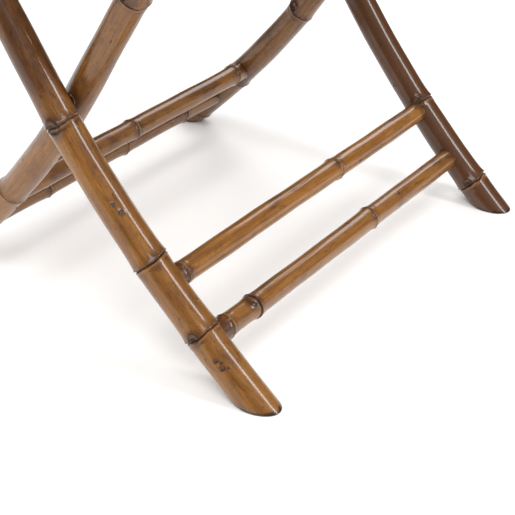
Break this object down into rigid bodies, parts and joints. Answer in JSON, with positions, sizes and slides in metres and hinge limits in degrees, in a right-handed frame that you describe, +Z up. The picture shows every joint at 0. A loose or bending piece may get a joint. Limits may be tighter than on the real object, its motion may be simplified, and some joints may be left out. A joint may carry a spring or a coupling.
{
  "type": "folding tray table",
  "caption": "Bamboo folding table: a lift-off slatted tray with two raised handles resting on a scissor stand of two pivoting bamboo frames.",
  "frame": {"origin": "on the floor under the middle of the table, with the fold axis straight above it", "axes": "+Z up, +X along the stretchers and the tray's length, +Y from the outer frame's feet towards its top rail"},
  "size_m": [0.64, 0.5786, 0.6615],
  "materials": {
    "stained_bamboo": "glossy lacquer over a tortoise-brown stain",
    "bamboo_slats": "satin lacquer",
    "dark_bamboo": "satin lacquer, darker stain",
    "bamboo_pins": "dark end grain",
    "bronzed_steel": "bronzed, slightly worn"
  },
  "bodies": {
    "outer_frame": {"outer_leg_left": "stained_bamboo", "outer_leg_right": "stained_bamboo", "outer_upper_stretcher": "stained_bamboo", "outer_lower_stretcher": "stained_bamboo", "outer_top_rail": "stained_bamboo", "outer_upper_pin_left": "bamboo_pins", "outer_upper_pin_right": "bamboo_pins", "outer_lower_pin_left": "bamboo_pins", "outer_lower_pin_right": "bamboo_pins", "outer_top_pin_left": "bamboo_pins", "outer_top_pin_right": "bamboo_pins", "pivot_bolt_left": "bronzed_steel", "pivot_bolt_right": "bronzed_steel", "pivot_insert_left": "bronzed_steel", "pivot_insert_right": "bronzed_steel", "pivot_spacer_left": "bronzed_steel", "pivot_spacer_right": "bronzed_steel", "pivot_washer_left": "bronzed_steel", "pivot_washer_right": "bronzed_steel"},
    "inner_frame": {"inner_leg_left": "stained_bamboo", "inner_leg_right": "stained_bamboo", "inner_upper_stretcher": "stained_bamboo", "inner_lower_stretcher": "stained_bamboo", "inner_top_rail": "stained_bamboo", "inner_upper_pin_left": "bamboo_pins", "inner_upper_pin_right": "bamboo_pins", "inner_lower_pin_left": "bamboo_pins", "inner_lower_pin_right": "bamboo_pins", "inner_top_pin_left": "bamboo_pins", "inner_top_pin_right": "bamboo_pins"},
    "tray": {"tray_bearer_left": "dark_bamboo", "tray_bearer_right": "dark_bamboo", "tray_slat_01": "bamboo_slats", "tray_slat_02": "bamboo_slats", "tray_slat_03": "bamboo_slats", "tray_slat_04": "bamboo_slats", "tray_slat_05": "bamboo_slats", "tray_slat_06": "bamboo_slats", "tray_slat_07": "bamboo_slats", "tray_slat_08": "bamboo_slats", "tray_slat_09": "bamboo_slats", "tray_slat_10": "bamboo_slats", "tray_slat_11": "bamboo_slats", "tray_slat_12": "bamboo_slats", "tray_rim_left": "stained_bamboo", "tray_rim_right": "stained_bamboo", "tray_rim_front": "stained_bamboo", "tray_rim_back": "stained_bamboo", "handle_bar_left": "stained_bamboo", "handle_bar_right": "stained_bamboo", "handle_post_left_front": "dark_bamboo", "handle_post_left_back": "dark_bamboo", "handle_post_right_front": "dark_bamboo", "handle_post_right_back": "dark_bamboo", "rim_dowel_left_front": "bamboo_pins", "rim_dowel_left_back": "bamboo_pins", "rim_dowel_right_front": "bamboo_pins", "rim_dowel_right_back": "bamboo_pins"}
  },
  "joints": [
    {"name": "fold", "type": "hinge", "parent": "outer_frame", "child": "inner_frame", "pos_m": [0, 0, 0.2858], "axis": [-1, 0, 0], "range_deg": [0, 60]},
    {"name": "tray_lift", "type": "slide", "parent": "outer_frame", "child": "tray", "axis": [0, 0, 1], "range_m": [0, 0.26]}
  ],
  "couplings": [
    {"joint": "tray_lift", "follows": "fold", "m_per_rad": 0.24}
  ]
}
